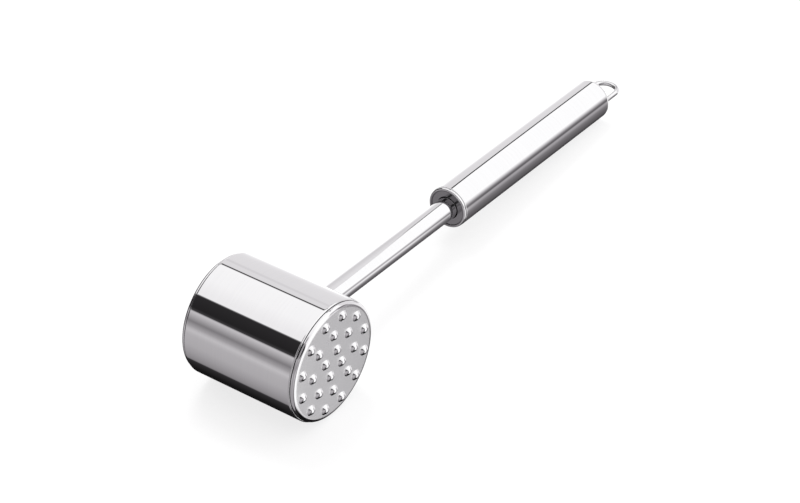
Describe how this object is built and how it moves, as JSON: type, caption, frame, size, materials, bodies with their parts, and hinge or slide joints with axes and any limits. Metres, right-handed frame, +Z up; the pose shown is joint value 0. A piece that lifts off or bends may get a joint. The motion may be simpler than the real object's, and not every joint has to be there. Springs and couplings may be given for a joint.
{
  "type": "meat mallet",
  "caption": "Round-headed steel meat mallet with one nubbed and one smooth striking face, a round shaft, a hollow grip and a hanging loop.",
  "frame": {"origin": "On the ground under the middle of the mallet's outer box, with the mallet lying at rest on its head's side and its handle's far end.", "axes": "+X is the head's axis, out of the nubbed striking face. +Y runs along the mallet from the head to the hanging loop. +Z is up."},
  "size_m": [0.0646, 0.3066, 0.058],
  "materials": {
    "polished_steel": "mirror-polished stainless steel",
    "satin_steel": "satin stainless steel",
    "dark_polished_steel": "polished stainless steel",
    "weight_iron": "as cast",
    "pin_steel": "ground steel",
    "plain_steel": "turned steel"
  },
  "bodies": {
    "root": {"head_shell": "polished_steel", "nubbed_striking_cap": "satin_steel", "smooth_striking_cap": "satin_steel", "head_weight": "weight_iron", "shaft": "polished_steel", "shaft_lock_pin": "pin_steel", "handle_tube": "polished_steel", "handle_front_cap": "dark_polished_steel", "shaft_steady_disc": "plain_steel", "handle_rear_cap": "polished_steel", "hanging_loop": "polished_steel"}
  },
  "joints": []
}
